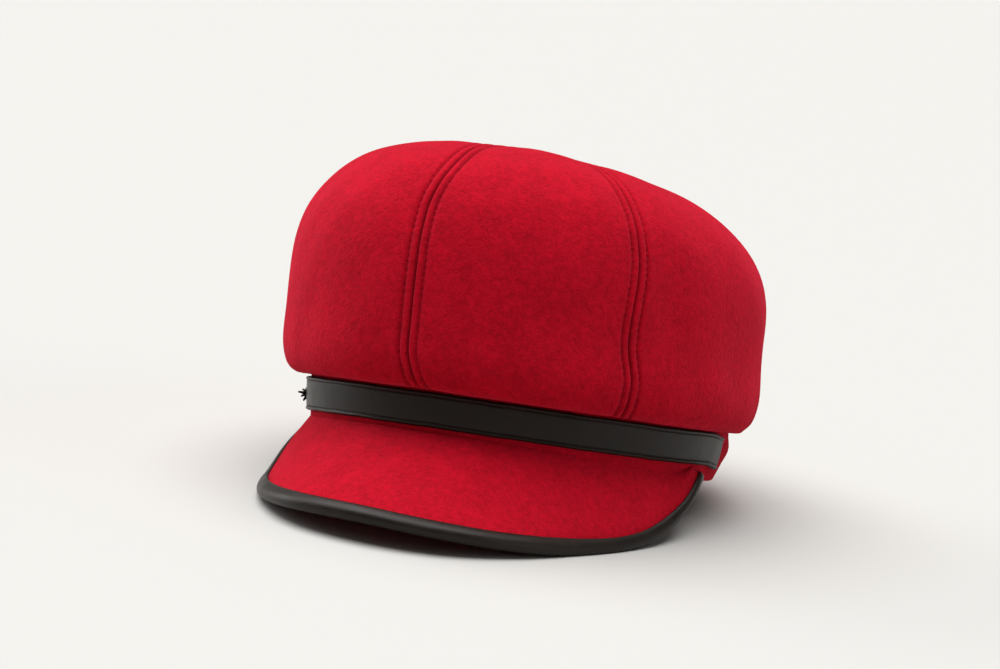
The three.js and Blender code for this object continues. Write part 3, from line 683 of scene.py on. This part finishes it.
def spun_thread(name, colour):
    """Spun polyester sewing thread, two plies twisted."""
    # The eye sees a dull line with a slight break where the plies cross.
    material, tree = new_material(name)
    where = node(tree, "ShaderNodeTexCoord").outputs["Object"]
    ply = node(tree, "ShaderNodeTexNoise", {"Vector": where, "Scale": per_metre(0.5), "Detail": 2.0})
    dark = tuple(c * 0.6 for c in colour)
    tone = node(tree, "ShaderNodeMix", {0: ply.outputs["Fac"], 6: (*dark, 1), 7: (*colour, 1)},
                data_type="RGBA")
    bump = node(tree, "ShaderNodeBump", {"Height": ply.outputs["Fac"], "Strength": 0.5, "Distance": 0.0002})
    shader = node(tree, "ShaderNodeBsdfPrincipled", {"Base Color": tone.outputs[2], "Roughness": 0.75,
                                                     "Specular IOR Level": 0.3, "Normal": bump.outputs[0]})
    node(tree, "ShaderNodeOutputMaterial", {"Surface": shader.outputs[0]})
    return material


class CapShape(bpy.types.PropertyGroup):
    """Sizes of the sewn details."""

    ridge_height: bpy.props.FloatProperty(
        name="Seam ridge", description="How far the pressed-open allowance stands up beside a seam",
        default=0.0007, min=0, max=0.002, subtype="DISTANCE", unit="LENGTH", precision=5)
    row_distance: bpy.props.FloatProperty(
        name="Row distance", description="From a seam to the sewn row on each side of it", default=0.0037,
        min=0.002, max=0.008, subtype="DISTANCE", unit="LENGTH", precision=5)
    stitch_pitch: bpy.props.FloatProperty(
        name="Stitch pitch", description="Length along a sewn row from one stitch to the next", default=0.0027,
        min=0.0015, max=0.006, subtype="DISTANCE", unit="LENGTH", precision=5)
    strap_edge: bpy.props.FloatProperty(
        name="Strap edge", description="How far the strap's rolled edges stand above its face",
        default=0.00035, min=0, max=0.001, subtype="DISTANCE", unit="LENGTH", precision=5)


class CapColours(bpy.types.PropertyGroup):
    """Colours of the cloth, the leather and the thread."""

    wool: bpy.props.FloatVectorProperty(
        name="Wool", description="Colour of the cloth's nap", subtype="COLOR", default=linear("#BC0A22")[:3])
    wool_pits: bpy.props.FloatVectorProperty(
        name="Wool pits", description="Colour between the tufts of the nap", subtype="COLOR",
        default=linear("#8A0516")[:3])
    leather: bpy.props.FloatVectorProperty(
        name="Leather", description="Colour of the strap and the binding", subtype="COLOR",
        default=linear("#140E09")[:3])
    leather_worn: bpy.props.FloatVectorProperty(
        name="Worn leather", description="Colour of the leather where it has been handled", subtype="COLOR",
        default=linear("#1E160F")[:3])
    cloth_thread: bpy.props.FloatVectorProperty(
        name="Cloth thread", description="Colour of the thread in the cloth", subtype="COLOR",
        default=linear("#A0061A")[:3])
    leather_thread: bpy.props.FloatVectorProperty(
        name="Leather thread", description="Colour of the thread in the leather", subtype="COLOR",
        default=linear("#0D0C0B")[:3])


class CapStage(bpy.types.PropertyGroup):
    """Floor and light of the studio."""

    floor: bpy.props.FloatVectorProperty(
        name="Floor", description="Colour of the floor and backdrop", subtype="COLOR",
        default=linear("#B4B3B0")[:3])
    sky: bpy.props.FloatProperty(
        name="Room light", description="Strength of the even light from all round", default=0.16, min=0, max=3)
    key: bpy.props.FloatProperty(
        name="Main light", description="Strength of the wide soft light overhead", default=5.35, min=0, max=20)


class CAP_OT_crown(bpy.types.Operator):
    """Build the six crown panels"""

    bl_idname = "cap.crown"
    bl_label = "Crown Panels"

    def execute(self, context):
        cloth = fulled_wool("crown_melton", context.scene.cap_colours)
        for index, (panel, _, _) in enumerate(PANELS):
            front, back, sewn = crown_panel(index, context.scene.cap_shape)
            piece = slab("crown_cloth_" + panel, front, back, cloth, sewn=sewn)
            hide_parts("crown_panel_" + panel)
            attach(piece, "root")
        return {"FINISHED"}


class CAP_OT_seam_stitching(bpy.types.Operator):
    """Sew a row of stitches along each side of every crown seam"""

    bl_idname = "cap.seam_stitching"
    bl_label = "Seam Stitching"

    def execute(self, context):
        shape = context.scene.cap_shape
        row, pitch = shape.row_distance * 1000, shape.stitch_pitch * 1000
        v = np.concatenate([np.linspace(1.08, 2, 160)[:-1], np.linspace(2, 2.9, 500)])
        found = []
        for index in range(len(PANELS)):
            t0, per = seam_line(index, v)
            for side in (-1, 1):
                t = t0 + side * row / per
                form, up = crown_form(t, v), crown_normal(t, v)
                height = crown_height(seam_relief(np.full_like(v, row), 0, shape), form, v)
                found.append(spaced(form + up * height[:, None], up, pitch=pitch))
        centres, along, up = (np.concatenate(parts) for parts in zip(*found))
        thread = spun_thread("crown_thread", context.scene.cap_colours.cloth_thread)
        piece = stitches("crown_stitches", centres, along, unit(up), pitch * 0.75, 0.3, thread)
        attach(piece, "root")
        return {"FINISHED"}


class CAP_OT_band(bpy.types.Operator):
    """Build the upright band"""

    bl_idname = "cap.band"
    bl_label = "Band"

    def execute(self, context):
        rim, turn = BAND["rim"], np.linspace(0, np.pi / 2, 5)
        low = np.stack([rim * (1 - np.sin(turn)), BAND["bottom"] + rim * (1 - np.cos(turn))], 1)
        high = np.stack([low[::-1, 0], BAND["bottom"] + BAND["top"] - low[::-1, 1]], 1)
        middle = np.linspace(low[-1, 1], high[0, 1], 14)[1:-1]
        rows = np.concatenate([low, np.stack([0 * middle, middle], 1), high])
        t = np.linspace(0, 2 * np.pi, 241)[None, :-1]
        rise = arch(t) * ramp(BAND["bottom"] + rim, BAND["top"] - rim, rows[:, 1:])
        up = rows[:, 1:] + rise
        swell = band_swell(t, rows[:, 1:])
        front, back = oval(t, swell - rows[:, :1], up), oval(t, swell + rows[:, :1] - BAND["wall"], up)
        cloth = fulled_wool("band_melton", context.scene.cap_colours)
        piece = slab("band_cloth_ring", front, back, cloth, wrap=True)
        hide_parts("band")
        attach(piece, "root")
        return {"FINISHED"}


class CAP_OT_strap(bpy.types.Operator):
    """Build the leather strap and its two sewn rows"""

    bl_idname = "cap.strap"
    bl_label = "Strap"

    def execute(self, context):
        colours, shape = context.scene.cap_colours, context.scene.cap_shape
        section = strap_section(shape.strap_edge * 1000)
        middle = np.array([0.9, STRAP["width"] / 2])
        # The section is drawn in over the last steps at each end, so that the ends are rounded.
        inset = np.array([0.5, 0.2, 0.05, 0, 0])
        step = np.degrees(np.array([0, 0.12, 0.35, 0.8, 1.5]) / 90)
        angle = np.concatenate([-STRAP["end"] + step, np.linspace(-STRAP["end"] + 2, STRAP["end"] - 2, 300),
                                STRAP["end"] - step[::-1]])
        drawn = np.concatenate([inset, np.zeros(300), inset[::-1]])[:, None, None]
        inward = np.sign(middle - section) * np.minimum(np.abs(middle - section), 1)
        shaped = section[None] + inward[None] * drawn
        t = np.radians(angle)[:, None]
        up = shaped[..., 1] + strap_lift(angle)[:, None] + strap_wave(t)
        sections = band_face(t, STRAP["clear"] + shaped[..., 0], up)
        piece = swept("strap_leather_strip", sections, finished_leather("strap_grain_leather", colours, 0.2))
        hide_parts("strap")
        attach(piece, "root")
        fine = np.linspace(-STRAP["end"] + 1, STRAP["end"] - 1, 1600)
        found = []
        for up in (STRAP["row_in"], STRAP["width"] - STRAP["row_in"]):
            t = np.radians(fine)
            out = np.interp(up, section[:-2, 1], section[:-2, 0]) + STRAP["clear"]
            line = band_face(t, out, up + strap_lift(fine) + strap_wave(t))
            away = np.stack([np.sin(t) / BAND["half_width"], -np.cos(t) / BAND["half_length"], 0 * t], -1)
            found.append(spaced(line, unit(away), pitch=shape.stitch_pitch * 1000))
        centres, along, up = (np.concatenate(parts) for parts in zip(*found))
        thread = spun_thread("strap_thread", colours.leather_thread)
        sewn = stitches("strap_stitches", centres, along, unit(up), 2.0, 0.26, thread)
        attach(sewn, "root")
        return {"FINISHED"}


class CAP_OT_frayed_thread(bpy.types.Operator):
    """Stand a tuft of frayed thread out from the strap's face on the wearer's right"""

    bl_idname = "cap.frayed_thread"
    bl_label = "Frayed Thread"

    def execute(self, context):
        points = band_face(np.radians(FRAYED[:, 0]), FRAYED[:, 1], FRAYED[:, 2])
        reach = points[1:] - points[0]
        thread = spun_thread("frayed_thread", context.scene.cap_colours.leather_thread)
        beside = np.broadcast_to(unit(np.cross(reach[0], reach[2])), reach.shape)
        length = np.linalg.norm(reach, axis=1)
        # The spindles run a little past both ends, so that they meet in the strap.
        piece = stitches("strap_frayed_thread", points[0] + reach / 2, unit(reach), beside, length * 1.15,
                         FRAYED_THICK, thread)
        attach(piece, "root")
        return {"FINISHED"}


class CAP_OT_peak(bpy.types.Operator):
    """Build the cloth-covered peak"""

    bl_idname = "cap.peak"
    bl_label = "Peak"

    def execute(self, context):
        at = np.linspace(-PEAK["end"], PEAK["end"], 187)
        cloth = fulled_wool("peak_melton", context.scene.cap_colours)
        piece = slab("peak_cloth_board", peak_face(at, 1), peak_face(at, -1), cloth)
        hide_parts("peak")
        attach(piece, "root")
        return {"FINISHED"}


class CAP_OT_binding(bpy.types.Operator):
    """Fold the leather binding over the peak's edge"""

    bl_idname = "cap.binding"
    bl_label = "Binding"

    def execute(self, context):
        share = 4
        loop = smooth_loop(np.concatenate([BINDING_ROLL, BINDING_SLOT]), share)
        roll = loop[: (len(BINDING_ROLL) - 1) * share + 1]
        section = np.concatenate([roll, BINDING_SLOT])
        outer = np.arange(len(section)) < len(roll)
        at = np.linspace(-BINDING_END, BINDING_END, 260)
        out, up = edge_frame(at)
        middle = edge_point(at) - out * PEAK["inset"]
        # It narrows toward its ends, along its sides and where the cloth is full over it.
        end = ramp(*BINDING_SLIM["end"], np.abs(at))[:, None]
        side = ramp(*BINDING_SLIM["side"], np.abs(at))[:, None]
        full = full_side(at)[:, None]
        inward, outward = 1 - 0.27 * side - 0.3 * end, np.where(outer, 1 - 0.2 * end - 0.3 * full, 1)
        across = section[:, 0] * np.where(section[:, 0] < 0, inward, outward)
        high = section[:, 1] * np.where(outer, 1 - 0.2 * end - 0.12 * full, 1)
        sections = middle[:, None] + out[:, None] * across[..., None] + up[:, None] * high[..., None]
        leather = finished_leather("binding_grain_leather", context.scene.cap_colours, 0.22)
        piece = swept("binding_leather_fold", outside_band(sections, 0.06), leather)
        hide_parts("peak_binding")
        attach(piece, "root")
        return {"FINISHED"}


class CAP_OT_stage(bpy.types.Operator):
    """Set the floor, the lights and the camera"""

    bl_idname = "cap.stage"
    bl_label = "Stage"

    def execute(self, context):
        scene, stage = context.scene, context.scene.cap_stage
        material, tree = new_material("painted_backdrop")
        shader = node(tree, "ShaderNodeBsdfPrincipled", {"Base Color": (*stage.floor, 1), "Roughness": 0.9,
                                                         "Specular IOR Level": 0.1})
        node(tree, "ShaderNodeOutputMaterial", {"Surface": shader.outputs[0]})
        x = np.linspace(-BACKDROP["half_width"], BACKDROP["half_width"], 13)
        turn, curve = np.linspace(0, np.pi / 2, 17), BACKDROP["curve"]
        wall = BACKDROP["curve_from"] + curve
        y = np.concatenate([[BACKDROP["near"], -10, 0, 10], wall - curve + curve * np.sin(turn), [wall]])
        z = np.concatenate([[0, 0, 0, 0], curve - curve * np.cos(turn), [BACKDROP["top"]]])
        points = np.stack(np.broadcast_arrays(x[None], y[:, None], z[:, None]), -1).reshape(-1, 3)
        ids = np.arange(len(points)).reshape(len(y), len(x))
        corners = [ids[:-1, :-1], ids[:-1, 1:], ids[1:, 1:], ids[1:, :-1]]
        faces = np.stack([corner.ravel() for corner in corners], 1)
        mesh = bpy.data.meshes.new("backdrop")
        mesh.from_pydata(points.tolist(), [], faces.tolist())
        mesh.shade_smooth()
        mesh.materials.append(material)
        backdrop = bpy.data.objects.new("backdrop", mesh)
        scene.collection.objects.link(backdrop)

        world = bpy.data.worlds.new("room_light")
        scene.world = world
        world.use_nodes = True
        world.node_tree.nodes.clear()
        sky = node(world.node_tree, "ShaderNodeBackground", {
            "Color": linear("#FFFEFA"), "Strength": stage.sky})
        node(world.node_tree, "ShaderNodeOutputWorld", {"Surface": sky.outputs[0]})
        for name, place, spread, share, gleam in LIGHTS:
            lamp = bpy.data.lights.new(name, "SUN")
            lamp.energy, lamp.angle, lamp.specular_factor = stage.key * share, math.radians(spread), gleam
            light = bpy.data.objects.new(name, lamp)
            light.location = place
            light.rotation_mode = "QUATERNION"
            light.rotation_quaternion = (Vector(LIT_POINT) - Vector(place)).to_track_quat("-Z", "Y")
            scene.collection.objects.link(light)

        data = bpy.data.cameras.new("photo_camera")
        data.lens, data.sensor_width, data.dof.use_dof = CAMERA["lens"], CAMERA["sensor"], False
        data.clip_start, data.clip_end = 0.05, 40
        camera = bpy.data.objects.new("photo_camera", data)
        turn, tip, roll = (math.radians(CAMERA[name]) for name in ("turn", "tip", "roll"))
        back = Vector((math.sin(turn) * math.cos(tip), -math.cos(turn) * math.cos(tip), math.sin(tip)))
        right = Vector((math.cos(turn), math.sin(turn), 0))
        up = back.cross(right)
        right, up = right * math.cos(roll) - up * math.sin(roll), up * math.cos(roll) + right * math.sin(roll)
        pitch, lean = math.radians(-STAND["pitch"]), math.radians(STAND["lean"])
        tilt = Matrix.Rotation(pitch, 3, "X") @ Matrix.Rotation(lean, 3, "Y")
        back, right, up = tilt @ back, tilt @ right, tilt @ up
        # The picture's middle lies a little left of the band's middle and well above it.
        back = (back * CAMERA["focal"] + right * CAMERA["aside"] - up * CAMERA["above"]).normalized()
        right = up.cross(back).normalized()
        up = back.cross(right)
        turned = Matrix((right, up, back)).transposed().to_4x4()
        camera.matrix_world = Matrix.Translation(Vector(CAMERA["place"])) @ turned
        scene.collection.objects.link(camera)
        scene.camera = camera
        scene.view_settings.view_transform = "Standard"
        return {"FINISHED"}


class CAP_PT_panel(bpy.types.Panel):
    """Lists the cap's pieces and their settings"""

    bl_label = "Paneled Wool Cap"
    bl_space_type = "VIEW_3D"
    bl_region_type = "UI"
    bl_category = "Cap"

    def draw(self, context):
        layout = self.layout
        for group in (context.scene.cap_shape, context.scene.cap_colours, context.scene.cap_stage):
            for name in group.__annotations__:
                layout.prop(group, name)
        for operator in OPERATORS:
            layout.operator(operator.bl_idname)


OPERATORS = (
    CAP_OT_crown, CAP_OT_seam_stitching, CAP_OT_band, CAP_OT_strap, CAP_OT_frayed_thread, CAP_OT_peak,
    CAP_OT_binding, CAP_OT_stage,
)
CLASSES = (CapShape, CapColours, CapStage, *OPERATORS, CAP_PT_panel)


def register():
    for c in CLASSES:
        bpy.utils.register_class(c)
    bpy.types.Scene.cap_shape = bpy.props.PointerProperty(type=CapShape)
    bpy.types.Scene.cap_colours = bpy.props.PointerProperty(type=CapColours)
    bpy.types.Scene.cap_stage = bpy.props.PointerProperty(type=CapStage)


def unregister():
    for name in ("cap_stage", "cap_colours", "cap_shape"):
        delattr(bpy.types.Scene, name)
    for c in reversed(CLASSES):
        bpy.utils.unregister_class(c)


def main():
    register()
    bpy.ops.cap.crown()
    bpy.ops.cap.seam_stitching()
    bpy.ops.cap.band()
    bpy.ops.cap.strap()
    bpy.ops.cap.frayed_thread()
    bpy.ops.cap.peak()
    bpy.ops.cap.binding()
    bpy.ops.cap.stage()


if __name__ == "__main__":
    main()
